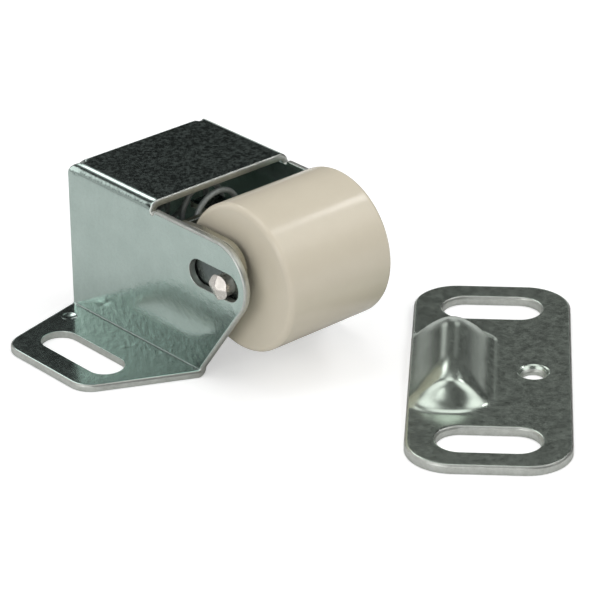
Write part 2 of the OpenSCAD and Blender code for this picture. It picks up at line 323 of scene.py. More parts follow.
def fill_plating(shader: Shader, given: bpy.types.Node, out: bpy.types.Node) -> None:
    """Fills the plating effect: cloudy patches and fine spangle in colour, gloss and height.

    Args:
        shader: The group's shader.
        given: Its input node.
        out: Its output node.
    """
    place = shader.add("ShaderNodeTexCoord").outputs["Object"]
    clouds = shader.add("ShaderNodeTexNoise", {
        "Vector": place, "Scale": given.outputs["Cloud Scale"], "Detail": 4.0, "Roughness": 0.6})
    spangle = shader.add("ShaderNodeTexNoise", {
        "Vector": place, "Scale": given.outputs["Spangle Scale"], "Detail": 3.0, "Roughness": 0.7})
    cloud = shader.widen(clouds.outputs["Fac"], NOISE_LOW, NOISE_HIGH)
    speck = shader.widen(spangle.outputs["Fac"], NOISE_LOW, NOISE_HIGH)
    both = shader.math("ADD", shader.math("MULTIPLY", cloud, CLOUD_SHARE),
                       shader.math("MULTIPLY", speck, 1 - CLOUD_SHARE))
    shader.feed(out.inputs["Colour"], shader.mix(both, given.outputs["Dull"], given.outputs["Bright"]))
    shader.feed(out.inputs["Roughness"],
                shader.spread(both, given.outputs["Rough High"], given.outputs["Rough Low"]))
    shader.feed(out.inputs["Height"], both)
    patches = shader.add("ShaderNodeMapRange", {
        "Value": spangle.outputs["Fac"],
        "From Min": shader.math("SUBTRACT", PATCH_MIDDLE, given.outputs["Patch Soft"]),
        "From Max": shader.math("ADD", PATCH_MIDDLE, given.outputs["Patch Soft"])},
        interpolation_type="SMOOTHSTEP")
    shader.feed(out.inputs["Metallic"], shader.math(
        "SUBTRACT", 1.0, shader.math("MULTIPLY", patches.outputs["Result"], given.outputs["Haze"])))
    waves = shader.add("ShaderNodeTexNoise", {
        "Vector": place, "Scale": given.outputs["Wave Scale"], "Detail": 3.0, "Roughness": 0.55})
    shader.feed(out.inputs["Wave"], waves.outputs["Fac"])


def fill_scratches(shader: Shader, given: bpy.types.Node, out: bpy.types.Node) -> None:
    """Fills the drawn-metal effect: fine streaks along one axis, as a mask.

    Args:
        shader: The group's shader.
        given: Its input node.
        out: Its output node.
    """
    place = shader.add("ShaderNodeTexCoord").outputs["Object"]
    stretched = shader.add("ShaderNodeVectorMath", {0: place, 1: given.outputs["Stretch"]},
                           operation="MULTIPLY")
    streaks = shader.add("ShaderNodeTexNoise", {
        "Vector": stretched.outputs["Vector"], "Scale": given.outputs["Scale"],
        "Detail": 5.0, "Roughness": 0.75})
    shader.feed(out.inputs["Mask"], shader.widen(streaks.outputs["Fac"], STREAK_LOW, STREAK_HIGH))


def make_effects() -> tuple[Effect, Effect]:
    """Builds the shared effects.

    Returns:
        The plating effect and the streak effect.
    """
    plating = Effect(
        "plating_mottle",
        [GroupSocket("Dull", COLOUR, (0.5, 0.5, 0.5, 1.0)),
         GroupSocket("Bright", COLOUR, (0.8, 0.8, 0.8, 1.0)),
         GroupSocket("Cloud Scale", FLOAT, 500.0), GroupSocket("Spangle Scale", FLOAT, 3000.0),
         GroupSocket("Rough Low", FLOAT, 0.1), GroupSocket("Rough High", FLOAT, 0.3),
         GroupSocket("Haze", FLOAT, 0.0), GroupSocket("Patch Soft", FLOAT, 0.13),
         GroupSocket("Wave Scale", FLOAT, 200.0)],
        [GroupSocket("Colour", COLOUR), GroupSocket("Roughness", FLOAT), GroupSocket("Height", FLOAT),
         GroupSocket("Metallic", FLOAT), GroupSocket("Wave", FLOAT)],
        fill_plating)
    streaks = Effect(
        "drawn_streaks",
        [GroupSocket("Stretch", "NodeSocketVector"), GroupSocket("Scale", FLOAT, 1000.0)],
        [GroupSocket("Mask", FLOAT)],
        fill_scratches)
    return plating, streaks


PLATING, STREAKS = make_effects()


class Finish:
    """A procedural material of one piece or face."""

    def material(self, name: str) -> bpy.types.Material:
        """Builds the material.

        Args:
            name: The material's name.

        Returns:
            The new material.
        """
        made = bpy.data.materials.new(name)
        made.use_nodes = True
        made.node_tree.nodes.clear()
        shader = Shader(made.node_tree)
        surface = shader.add("ShaderNodeBsdfPrincipled")
        self.dress(shader, surface)
        shader.add("ShaderNodeOutputMaterial", {"Surface": surface.outputs["BSDF"]})
        return made

    def dress(self, shader: Shader, surface: bpy.types.Node) -> None:
        """Joins the finish's own nodes to the surface."""
        raise NotImplementedError


@dataclass(frozen=True)
class ZincPlate(Finish):
    """Bright zinc plate on rolled sheet."""

    dull: Colour
    bright: Colour
    rough_low: float
    rough_high: float
    spangle_scale: float
    bump_height: float
    haze: float
    wave_scale: float
    wave_height: float
    cloud_scale: float = 300.0
    patch_soft: float = 0.13

    def dress(self, shader: Shader, surface: bpy.types.Node) -> None:
        """Joins mottled colour, gloss and a faint relief to the surface."""
        plate = PLATING.place(shader, {
            "Dull": rgba(self.dull), "Bright": rgba(self.bright),
            "Cloud Scale": self.cloud_scale, "Spangle Scale": self.spangle_scale,
            "Rough Low": self.rough_low, "Rough High": self.rough_high, "Haze": self.haze,
            "Patch Soft": self.patch_soft, "Wave Scale": self.wave_scale})
        wave = shader.add("ShaderNodeBump", {
            "Height": plate.outputs["Wave"], "Distance": self.wave_height, "Strength": 1.0})
        bump = shader.add("ShaderNodeBump", {
            "Height": plate.outputs["Height"], "Distance": self.bump_height, "Strength": 1.0,
            "Normal": wave.outputs["Normal"]})
        shader.feed(surface.inputs["Metallic"], plate.outputs["Metallic"])
        shader.feed(surface.inputs["Base Color"], plate.outputs["Colour"])
        shader.feed(surface.inputs["Roughness"], plate.outputs["Roughness"])
        shader.feed(surface.inputs["Normal"], bump.outputs["Normal"])


@dataclass(frozen=True)
class StreakedMetal(Finish):
    """Metal with fine streaks: a sheared sheet edge, a drawn pin or a drawn wire."""

    dull: Colour
    bright: Colour
    rough_low: float
    rough_high: float
    stretch: tuple[float, float, float]
    scale: float
    bump_height: float
    metallic: float = 1.0

    def dress(self, shader: Shader, surface: bpy.types.Node) -> None:
        """Joins streaked colour, gloss and relief to the surface."""
        streaks = STREAKS.place(shader, {"Stretch": self.stretch, "Scale": self.scale})
        mask = streaks.outputs["Mask"]
        bump = shader.add("ShaderNodeBump", {"Height": mask, "Distance": self.bump_height, "Strength": 1.0})
        surface.inputs["Metallic"].default_value = self.metallic
        shader.feed(surface.inputs["Base Color"], shader.mix(mask, rgba(self.dull), rgba(self.bright)))
        shader.feed(surface.inputs["Roughness"], shader.spread(mask, self.rough_high, self.rough_low))
        shader.feed(surface.inputs["Normal"], bump.outputs["Normal"])


@dataclass(frozen=True)
class MouldedPlastic(Finish):
    """Semi-gloss moulded plastic with faint flow clouds."""

    base: Colour
    shade: Colour
    rough_low: float
    rough_high: float
    cloud_scale: float
    grain_scale: float
    bump_height: float

    def dress(self, shader: Shader, surface: bpy.types.Node) -> None:
        """Joins clouded colour, gloss and a fine moulded grain to the surface."""
        plate = PLATING.place(shader, {
            "Dull": rgba(self.shade), "Bright": rgba(self.base),
            "Cloud Scale": self.cloud_scale, "Spangle Scale": self.grain_scale,
            "Rough Low": self.rough_low, "Rough High": self.rough_high})
        bump = shader.add("ShaderNodeBump", {
            "Height": plate.outputs["Height"], "Distance": self.bump_height, "Strength": 1.0})
        surface.inputs["IOR"].default_value = 1.5
        shader.feed(surface.inputs["Base Color"], plate.outputs["Colour"])
        shader.feed(surface.inputs["Roughness"], plate.outputs["Roughness"])
        shader.feed(surface.inputs["Normal"], bump.outputs["Normal"])


BRACKET_ZINC = ZincPlate(
    dull=(0.50, 0.61, 0.565), bright=(0.60, 0.72, 0.67), rough_low=0.11, rough_high=0.20,
    spangle_scale=1900.0, bump_height=0.000003, haze=0.085, wave_scale=900.0, wave_height=0.000018)
# Painted shade: the yoke's zinc is coloured far darker than the bracket's zinc, standing in for the shade
# between the bracket's walls.
YOKE_ZINC_PAINTED_SHADE = ZincPlate(
    dull=(0.14, 0.165, 0.16), bright=(0.22, 0.25, 0.24), rough_low=0.22, rough_high=0.34,
    spangle_scale=1200.0, bump_height=0.000003, haze=0.05, wave_scale=700.0, wave_height=0.000008)
STRIKE_ZINC = ZincPlate(
    dull=(0.54, 0.61, 0.54), bright=(0.60, 0.68, 0.60), rough_low=0.17, rough_high=0.26,
    spangle_scale=1100.0, bump_height=0.000002, haze=0.34, wave_scale=450.0, wave_height=0.00001,
    patch_soft=0.55)
SHEARED_ZINC = StreakedMetal(
    dull=(0.58, 0.60, 0.56), bright=(0.68, 0.70, 0.66), rough_low=0.40, rough_high=0.52,
    stretch=(1.0, 1.0, 1.0), scale=900.0, bump_height=0.000002)
# Painted shade and painted reflection: the yoke's cut edges are darker and warmer than the other sheared
# zinc, standing in for the shade in the gap and the roller's beige reflected in them.
YOKE_EDGE_PAINTED_SHADE_AND_REFLECTION = StreakedMetal(
    dull=(0.40, 0.39, 0.32), bright=(0.50, 0.49, 0.41), rough_low=0.32, rough_high=0.44,
    stretch=(1.0, 1.0, 1.0), scale=900.0, bump_height=0.000002)
PIN_STEEL = StreakedMetal(
    dull=(0.70, 0.66, 0.61), bright=(0.84, 0.80, 0.74), rough_low=0.24, rough_high=0.36,
    stretch=(0.2, 1.0, 1.0), scale=1500.0, bump_height=0.000004, metallic=0.85)
SPRING_WIRE = StreakedMetal(
    dull=(0.33, 0.355, 0.35), bright=(0.44, 0.47, 0.46), rough_low=0.48, rough_high=0.60,
    stretch=(1.0, 0.3, 1.0), scale=2400.0, bump_height=0.000002, metallic=0.5)
ROLLER_PLASTIC = MouldedPlastic(
    base=(0.75, 0.685, 0.55), shade=(0.72, 0.655, 0.523), rough_low=0.16, rough_high=0.20,
    cloud_scale=120.0, grain_scale=400.0, bump_height=0.0000003)


@dataclass
class Pattern:
    """A flat pattern: its outline and holes as closed rings, and further points that faces should meet."""

    outline: list[Point2]
    holes: list[list[Point2]]
    inner: list[Point2]

    def rings(self) -> list[list[Point2]]:
        """Returns the outline and the holes."""
        return [self.outline, *self.holes]

    def holds(self, x: float, y: float) -> bool:
        """Tells whether a point lies on the sheet: a line from it crosses the rings an odd count of times."""
        held = False
        for ring in self.rings():
            for (x0, y0), (x1, y1) in zip(ring, ring[1:] + ring[:1]):
                if (y0 > y) != (y1 > y) and x < x0 + (y - y0) * (x1 - x0) / (y1 - y0):
                    held = not held
        return held

    def keep_clear(self, margin: float) -> None:
        """Drops inner points that lie off the sheet or nearer to a cut edge than a margin."""
        corners = [p for ring in self.rings() for p in ring]
        tree = KDTree(len(corners))
        for i, (x, y) in enumerate(corners):
            tree.insert((x, y, 0.0), i)
        tree.balance()
        self.inner = [p for p in self.inner if tree.find((*p, 0.0))[2] > margin and self.holds(*p)]


def arc_points(centre: Point2, r: float, start_deg: float, end_deg: float, steps: int) -> list[Point2]:
    """Returns points along an arc, both ends included.

    Args:
        centre: The arc's centre.
        r: Its radius.
        start_deg: The angle where it starts.
        end_deg: The angle where it ends.
        steps: The number of straight runs.

    Returns:
        The points, in order.
    """
    angles = [math.radians(start_deg + (end_deg - start_deg) * i / steps) for i in range(steps + 1)]
    return [(centre[0] + r * math.cos(a), centre[1] + r * math.sin(a)) for a in angles]


def slot_ring(centre: Point2, length: float, width: float, upright: bool) -> list[Point2]:
    """Returns a slot with round ends, clockwise.

    Args:
        centre: The slot's middle.
        length: Its length over the round ends.
        width: Its width.
        upright: Whether it runs along the second axis.

    Returns:
        The ring's points.
    """
    reach, r, steps = (length - width) / 2, width / 2, SLOT_RUNS
    if upright:
        top = arc_points((centre[0], centre[1] + reach), r, 180, 0, steps)
        return top + arc_points((centre[0], centre[1] - reach), r, 0, -180, steps)
    right = arc_points((centre[0] + reach, centre[1]), r, 90, -90, steps)
    return right + arc_points((centre[0] - reach, centre[1]), r, -90, -270, steps)


def rounded_corner(before: Point2, corner: Point2, after: Point2, r: float, steps: int = 10) -> list[Point2]:
    """Returns the arc that rounds one corner of an outline.

    Args:
        before: The outline's point before the corner.
        corner: The corner.
        after: The point after it.
        r: The radius.
        steps: The number of straight runs.

    Returns:
        The arc's points, in order.
    """
    here = Vector(corner)
    back, ahead = (Vector(before) - here).normalized(), (Vector(after) - here).normalized()
    half = back.angle(ahead) / 2
    centre = here + (back + ahead).normalized() * r / math.sin(half)
    first = here + back * r / math.tan(half) - centre
    last = here + ahead * r / math.tan(half) - centre
    turn = math.atan2(first.cross(last), first.dot(last))
    start = math.degrees(math.atan2(first.y, first.x))
    return arc_points(tuple(centre), r, start, start + math.degrees(turn), steps)


def spaced(ring: list[Point2], step: float) -> list[Point2]:
    """Returns a closed ring with its long runs divided and repeated points left out."""
    points = []
    for here, there in zip(ring, ring[1:] + ring[:1]):
        reach = math.dist(here, there)
        parts = max(1, round(reach / step)) if reach > 1e-7 else 0
        for i in range(parts):
            share = i / parts
            points.append((here[0] + (there[0] - here[0]) * share, here[1] + (there[1] - here[1]) * share))
    return points


def inset(ring: list[Point2], depth: float) -> list[Vector]:
    """Returns a ring moved to its left by a depth, so that an outline shrinks and a clockwise hole grows."""
    moved = []
    for i, here in enumerate(ring):
        before, after = ring[i - 1], ring[(i + 1) % len(ring)]
        first = Vector((before[1] - here[1], here[0] - before[0])).normalized()
        second = Vector((here[1] - after[1], after[0] - here[0])).normalized()
        moved.append(Vector(here) + (first + second) * depth / (1 + first.dot(second)))
    return moved


@dataclass
class StampedSheet:
    """A piece stamped from sheet: a flat pattern with rolled edges that is brought into its form."""

    node: Node
    body: Body
    slot: str
    plated: Finish
    sheared: Finish
    sheet: float
    roll_r: float = 0.34 * MM
    roll_drop: float = 0.3 * MM
    burr_drop: float = 0.1 * MM
    hole_share: float = 0.3
    rough_roll: float = 0.12
    step: float = 0.6 * MM
    bend_steps: int = 10
    ring_steps: tuple[float, ...] = (0.0, 0.04, 0.14, 0.32, 0.6, 1.0)

    def pattern(self) -> Pattern:
        """Returns the flat pattern."""
        raise NotImplementedError

    def fold(self, point: Point2, lift: float) -> Vector:
        """Returns where a point of the pattern lies in the part, lifted from the sheet's middle."""
        raise NotImplementedError

    def upper(self, point: Point2, drop: float) -> Vector:
        """Returns where a point of the pattern's upper face lies, lowered by a drop."""
        return self.fold(point, self.sheet / 2 - drop)

    def lower(self, point: Point2, drop: float) -> Vector:
        """Returns where a point of the pattern's lower face lies, raised by a drop."""
        return self.fold(point, drop - self.sheet / 2)

    def over_bend(self, start: float, end: float) -> list[float]:
        """Returns the places across a bend between two places on the pattern."""
        return [start + (end - start) * i / self.bend_steps for i in range(self.bend_steps + 1)]

    def net(self) -> tuple[list[Vector], list[float], list[list[int]]]:
        """Divides the flat pattern into triangles that follow its cut edges.

        Returns:
            The points, the share of the full roll-over at each, and the triangles.
        """
        pattern = self.pattern()
        pattern.keep_clear(self.roll_r + self.step / 4)
        points: list[Vector] = []
        rolls: list[float] = []
        edges: list[tuple[int, int]] = []
        cut_edge: set[int] = set()
        for ring in pattern.rings():
            size = 1.0 if ring is pattern.outline else self.hole_share
            for share in self.ring_steps:
                first = len(points)
                points += inset(ring, share * size * self.roll_r)
                rolls += [size * (1 - math.sqrt(1 - (1 - share) ** 2))] * len(ring)
                edges += [(first + i, first + (i + 1) % len(ring)) for i in range(len(ring))]
                if share == 0:
                    cut_edge.update(range(first, len(points)))
        points += [Vector(p) for p in pattern.inner]
        rolls += [0.0] * len(pattern.inner)
        flat, _, triangles, origin, *_ = delaunay_2d_cdt(points, edges, [], 0, 1e-9)
        kept = []
        for triangle in triangles:
            middle = sum((flat[i] for i in triangle), Vector((0.0, 0.0))) / 3
            if not all(origin[i][0] in cut_edge for i in triangle) or pattern.holds(middle.x, middle.y):
                kept.append(list(triangle))
        return flat, [rolls[source[0]] for source in origin], kept

    def shape(self) -> bpy.types.Mesh:
        """Makes the mesh: upper face, lower face and the cut walls between them.

        Returns:
            The new mesh, in the part's frame.
        """
        flat, rolls, triangles = self.net()
        form = bmesh.new()
        upper, lower = [], []
        for point, roll in zip(flat, rolls):
            upper.append(form.verts.new(self.upper((point.x, point.y), self.roll_drop * roll)))
            lower.append(form.verts.new(self.lower((point.x, point.y), self.burr_drop * roll)))
        sides: set[tuple[int, int]] = set()
        for triangle in triangles:
            face = form.faces.new([upper[i] for i in triangle])
            rolled = max(rolls[i] for i in triangle) > self.rough_roll
            face.material_index = (SheetFace.SHEARED if rolled else SheetFace.PLATED).value
            form.faces.new([lower[i] for i in reversed(triangle)])
            sides.update(zip(triangle, triangle[1:] + triangle[:1]))
        for a, b in sorted(sides):
            if (b, a) not in sides:
                wall = form.faces.new([upper[b], upper[a], lower[a], lower[b]])
                wall.material_index = SheetFace.SHEARED.value
        bmesh.ops.delete(form, geom=[v for v in form.verts if not v.link_faces], context="VERTS")
        bmesh.ops.recalc_face_normals(form, faces=form.faces)
        return smooth_mesh(form, self.node.value + "_form")

    def build(self) -> bpy.types.Object:
        """Builds, dresses and places the piece.

        Returns:
            The new object.
        """
        piece = link_piece(self.node.value + "_piece", self.shape())
        piece.data.materials.append(self.plated.material(self.slot))
        piece.data.materials.append(self.sheared.material(self.slot + "_edge"))
        keep_flats(piece)
        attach(piece, self.body.value)
        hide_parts(self.node.value)
        return piece


@dataclass
class Bracket(StampedSheet):
    """The folded bracket. Its pattern runs across from the middle, and along as the part's Y does."""

    node: Node = Node.BRACKET
    body: Body = Body.CATCH
    slot: str = "zinc_plate"
    plated: Finish = BRACKET_ZINC
    sheared: Finish = SHEARED_ZINC
    sheet: float = 1.0 * MM
    roll_r: float = 0.36 * MM
    roll_drop: float = 0.34 * MM
    half_w: float = 12.0 * MM
    bend_r: float = 0.6 * MM
    foot_r: float = 0.25 * MM
    top_d: float = 17.4 * MM
    wall_drop: float = 1.05 * MM
    foot_d: float = 26.9 * MM
    tab_bend_r: float = 0.25 * MM
    tab_low: float = 6.0 * MM
    tab_half: float = 10.9 * MM
    tab_neck: float = 0.2 * MM
    tab_slit: float = 0.2 * MM
    ear_r: float = 5.43 * MM
    ear_slot_w: float = 3.8 * MM
    ear_slot_l: float = 9.6 * MM
    ear_slot_drop: float = 0.2 * MM
    travel: tuple[float, float] = (-1.4 * MM, 4.0 * MM)
    flange_rear: float = 3.3 * MM
    flange_front: float = 19.9 * MM
    corner_r: float = 3.5 * MM
    slot_w: float = 5.0 * MM
    slot_l: float = 14.6 * MM
    slot_out: float = 8.1 * MM
    dimple_in: float = 2.95 * MM
    dimple_d: float = 2.2 * MM
    dimple_h: float = 0.2 * MM
    relief_w: float = 0.6 * MM
    relief_d: float = 0.5 * MM

    def __post_init__(self) -> None:
        """Works out the folds' places on the pattern and in the part."""
        low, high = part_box(self.node.value)
        bend_out = self.bend_r + self.sheet
        self.flange_x: float = high[0]
        self.rear: float = high[1]
        self.height: float = high[2]
        self.ear_y: float = low[1] + self.ear_r
        self.axle_y: float = box_middle(Node.AXLE_PIN).y
        self.mid_r: float = self.bend_r + self.sheet / 2
        self.foot_mid: float = self.foot_r + self.sheet / 2
        self.bend_z: float = self.height - bend_out
        self.wall_z: float = self.height - self.wall_drop
        self.ear_z: float = self.wall_z - self.ear_r
        self.foot_z: float = self.foot_r + self.sheet
        self.top_half: float = self.half_w - bend_out
        self.root_x: float = self.half_w + self.foot_r
        self.wall_start: float = self.top_half + self.mid_r * math.pi / 2
        self.wall_end: float = self.wall_start + self.bend_z - self.foot_z
        self.flange_start: float = self.wall_end + self.foot_mid * math.pi / 2
        self.tab_mid: float = self.tab_bend_r + self.sheet / 2
        self.tab_out: float = self.tab_bend_r + self.sheet
        self.tab_start: float = self.rear - self.tab_out
        self.tab_z: float = self.height - self.tab_out
        self.top_front: float = self.rear - self.top_d

    def at_z(self, z: float) -> float:
        """Returns the pattern's place of a height on the side wall."""
        return self.wall_start + self.bend_z - z

    def at_x(self, x: float) -> float:
        """Returns the pattern's place of a distance out on the flange."""
        return self.flange_start + x - self.root_x

    def bend_rear(self, s: float) -> float:
        """Returns where the top bend ends at the rear: it follows the tab's rounding in side view."""
        rise = self.bend_z + (self.bend_r + self.sheet) * math.cos((s - self.top_half) / self.mid_r)
        over = min(max(rise - self.tab_z, 0.0), self.tab_out)
        return self.tab_start + math.sqrt(self.tab_out ** 2 - over ** 2)

    def ear_arc(self) -> list[Point2]:
        """Returns the slanted front edge's end and the ear's round, up to the wall's free edge."""
        foot = Vector((self.rear - self.foot_d, self.foot_z))
        to_ear = Vector((self.ear_y, self.ear_z)) - foot
        touch = math.degrees(math.atan2(to_ear.y, to_ear.x) + math.asin(self.ear_r / to_ear.length)) + 90
        round_end = arc_points((self.ear_y, self.ear_z), self.ear_r, touch, 90, EAR_RUNS)
        return [(self.at_z(z), y) for y, z in round_end]

    def half_outline(self) -> list[Point2]:
        """Returns the right half of the outline, from the tab's end round to the top plate's front edge."""
        tab_end = self.tab_start + self.tab_mid * math.pi / 2 + self.tab_z - self.tab_low
        foot_y = self.rear - self.foot_d
        out = self.at_x(self.flange_x)
        corners = [(self.flange_start, self.rear), (out, self.rear - self.flange_rear),
                   (out, self.rear - self.flange_front), (self.flange_start, foot_y)]
        neck, slit = self.rear + self.tab_neck, self.top_half - self.tab_slit
        points = [(self.tab_half, tab_end), (self.tab_half, neck + self.tab_half - slit),
                  (slit, neck), (slit, self.tab_start)]
        points += [(s, self.bend_rear(s)) for s in self.over_bend(self.top_half, self.wall_start)]
        points += [(s, self.rear) for s in self.over_bend(self.wall_end, self.flange_start)]
        points += rounded_corner(*corners[0:3], self.corner_r) + rounded_corner(*corners[1:4], self.corner_r)
        points += [(s, foot_y) for s in reversed(self.over_bend(self.wall_end, self.flange_start))]
        points += self.ear_arc()
        r = self.relief_w / 2
        relief = self.at_z(self.wall_z) + self.relief_d - r
        points.append((self.at_z(self.wall_z), self.top_front - self.relief_w))
        points += arc_points((relief, self.top_front - r), r, -90, 90, 10)
        bend = reversed(self.over_bend(self.top_half, self.wall_start))
        return points + [(s, self.top_front) for s in bend if s < relief]

    def pattern(self) -> Pattern:
        """Returns the flat pattern, with rows of points along every bend and round the dimples."""
        right = self.half_outline()
        left = [(-s, y) for s, y in reversed(right)]
        slot_y = self.axle_y + sum(self.travel) / 2
        slot_s = self.at_z(self.ear_z - self.ear_slot_drop)
        dimple = (self.at_x(self.half_w + self.dimple_in), self.rear - self.dimple_in)
        holes, inner = [], []
        rows = [self.rear - self.step * 1.5 * i for i in range(int(self.foot_d / self.step))]
        for side in (1, -1):
            slot_x = side * self.at_x(self.half_w + self.slot_out)
            holes.append(slot_ring((slot_x, 0.0), self.slot_l, self.slot_w, True))
            holes.append(slot_ring((side * slot_s, slot_y), self.ear_slot_l, self.ear_slot_w, True))
            for s in self.over_bend(self.top_half, self.wall_start):
                inner += [(side * s, y) for y in rows if self.top_front < y < self.tab_start]
            for s in self.over_bend(self.wall_end, self.flange_start):
                inner += [(side * s, y) for y in rows]
            for share in (0.2, 0.4, 0.6, 0.8, 0.95, 1.0, 1.1):
                inner += arc_points((side * dimple[0], dimple[1]), share * self.dimple_d / 2, 0, 345, 23)
        for t in self.over_bend(self.tab_start, self.tab_start + self.tab_mid * math.pi / 2):
            inner += [(self.top_half * i / 12, t) for i in range(-11, 12)]
        outline = spaced(list(reversed(right + left)), self.step)
        return Pattern(outline, [spaced(h, self.step) for h in holes], inner)

    def fold(self, point: Point2, lift: float) -> Vector:
        """Folds a point of the pattern into the part.

        Args:
            point: The place on the pattern.
            lift: The height over the sheet's middle, towards the outer face.

        Returns:
            The place in the part.
        """
        s, y = point
        side, a = math.copysign(1.0, s), abs(s)
        if y > self.rear or (y > self.tab_start and a <= self.top_half + 1e-7):
            turn = min((y - self.tab_start) / self.tab_mid, math.pi / 2)
            past = max(y - self.tab_start - self.tab_mid * math.pi / 2, 0.0)
            r = self.tab_mid + lift
            return Vector((s, self.tab_start + r * math.sin(turn), self.tab_z + r * math.cos(turn) - past))
        if a <= self.top_half:
            return Vector((s, y, self.height - self.sheet / 2 + lift))
        if a <= self.wall_start:
            turn, r = (a - self.top_half) / self.mid_r, self.mid_r + lift
            bent = Vector((self.top_half + r * math.sin(turn), y, self.bend_z + r * math.cos(turn)))
            straight = Vector((self.top_half + r, y, self.bend_z + self.wall_start - a))
            place = bent.lerp(straight, min(max((self.top_front - y) / self.relief_w, 0.0), 1.0))
        else:
            turn = min(max((a - self.wall_end) / self.foot_mid, 0.0), math.pi / 2)
            past = max(a - self.flange_start, 0.0)
            down = min(a, self.wall_end) - self.wall_start
            r = self.foot_mid - lift
            out = self.root_x - r * math.cos(turn) + past
            place = Vector((out, y, self.bend_z - down - r * math.sin(turn)))
        return Vector((side * place.x, place.y, place.z))

    def upper(self, point: Point2, drop: float) -> Vector:
        """Returns a place on the outer face, with the stiffening dimples pressed in."""
        away = math.dist((abs(point[0]), point[1]),
                         (self.at_x(self.half_w + self.dimple_in), self.rear - self.dimple_in))
        press = self.dimple_h * max(1 - (2 * away / self.dimple_d) ** 2, 0.0)
        return super().upper(point, drop + press)


@dataclass
class Yoke(StampedSheet):
    """The inner yoke. Its pattern runs along the U from the web's middle, and up as the part's Z does."""

    node: Node = Node.YOKE
    body: Body = Body.CARRIAGE
    # Painted shade on the yoke's plated faces; painted shade and a painted warm reflection of the roller on
    # its cut edges.
    slot: str = "yoke_zinc"
    plated: Finish = YOKE_ZINC_PAINTED_SHADE
    sheared: Finish = YOKE_EDGE_PAINTED_SHADE_AND_REFLECTION
    sheet: float = 1.0 * MM
    roll_r: float = 0.14 * MM
    roll_drop: float = 0.12 * MM
    bend_r: float = 0.6 * MM
    web_h: float = 7.4 * MM
    arm_front: float = 2.9 * MM
    corner_r: float = 3.4 * MM
    lower_r: float = 4.8 * MM
    shoulder_back: float = 9.3 * MM
    shoulder_drop: float = 0.4 * MM
    rise_run: float = 3.2 * MM
    pin_r: float = 1.52 * MM
    tongue_w: float = 4.0 * MM
    tongue_l: float = 4.0 * MM

    def __post_init__(self) -> None:
        """Works out the folds' places on the pattern and in the part."""
        low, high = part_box(self.node.value)
        axle = box_middle(Node.AXLE_PIN)
        bend_out = self.bend_r + self.sheet
        self.axle_y: float = axle.y
        self.axle_z: float = axle.z
        self.bottom: float = low[2]
        self.top: float = high[2]
        self.web_y: float = high[1] - self.tongue_l
        self.web_top: float = self.bottom + self.web_h
        self.web_half: float = high[0] - bend_out
        self.bend_y: float = self.web_y - bend_out
        self.mid_r: float = self.bend_r + self.sheet / 2
        self.arm_start: float = self.web_half + self.mid_r * math.pi / 2
        self.tongue_start: float = self.web_top - self.sheet
        self.tongue_mid: float = self.sheet / 2

    def at_y(self, y: float) -> float:
        """Returns the pattern's place of a distance along an arm."""
        return self.arm_start + self.bend_y - y

    def pattern(self) -> Pattern:
        """Returns the flat pattern, with rows of points along the bends."""
        bend = self.over_bend(self.web_half, self.arm_start)
        tongue_end = self.tongue_start + self.tongue_mid * math.pi / 2 + self.tongue_l
        shoulder_y = self.axle_y + self.shoulder_back
        slope = (self.top - self.shoulder_drop - self.web_top) / (self.web_y - shoulder_y)
        front = self.at_y(self.axle_y - self.arm_front)
        corners = [(self.at_y(shoulder_y - self.rise_run), self.top), (front, self.top), (front, self.bottom),
                   (0.0, self.bottom)]
        half = [(self.tongue_w / 2, tongue_end), (self.tongue_w / 2, self.web_top)]
        for s in bend:
            y = self.bend_y + self.mid_r * math.cos((s - self.web_half) / self.mid_r)
            half.append((s, self.web_top + slope * max(self.web_y - self.sheet / 2 - y, 0.0)))
        half += [(self.at_y(shoulder_y), self.top - self.shoulder_drop), corners[0]]
        half += rounded_corner(*corners[0:3], self.corner_r) + rounded_corner(*corners[1:4], self.lower_r)
        half += [(s, self.bottom) for s in reversed(bend)]
        whole = half + [(-s, z) for s, z in reversed(half)]
        inner, holes = [], []
        for side in (1, -1):
            inner += [(side * s, self.bottom + self.step * 1.5 * i) for s in bend for i in range(12)]
            pin = (side * self.at_y(self.axle_y), self.axle_z)
            holes.append(arc_points(pin, self.pin_r, 360 - RING_STEP_DEG, 0, RING_RUNS))
        for z in self.over_bend(self.tongue_start, self.tongue_start + self.tongue_mid * math.pi / 2):
            inner += [(self.tongue_w / 2 * i / 5, z) for i in range(-4, 5)]
        return Pattern(spaced(list(reversed(whole)), self.step), holes, inner)

    def fold(self, point: Point2, lift: float) -> Vector:
        """Folds a point of the pattern into the part.

        Args:
            point: The place on the pattern.
            lift: The height over the sheet's middle, towards the U's outer face.

        Returns:
            The place in the part.
        """
        s, z = point
        side, a = math.copysign(1.0, s), abs(s)
        if a <= self.tongue_w / 2 + 1e-7 and z > self.tongue_start:
            turn = min((z - self.tongue_start) / self.tongue_mid, math.pi / 2)
            past = max(z - self.tongue_start - self.tongue_mid * math.pi / 2, 0.0)
            r = self.tongue_mid - lift
            return Vector((s, self.web_y - r * math.cos(turn) + past, self.tongue_start + r * math.sin(turn)))
        if a <= self.web_half:
            return Vector((s, self.web_y - self.sheet / 2 + lift, z))
        turn, r = min((a - self.web_half) / self.mid_r, math.pi / 2), self.mid_r + lift
        past = max(a - self.arm_start, 0.0)
        across = self.web_half + r * math.sin(turn)
        return Vector((side * across, self.bend_y + r * math.cos(turn) - past, z))


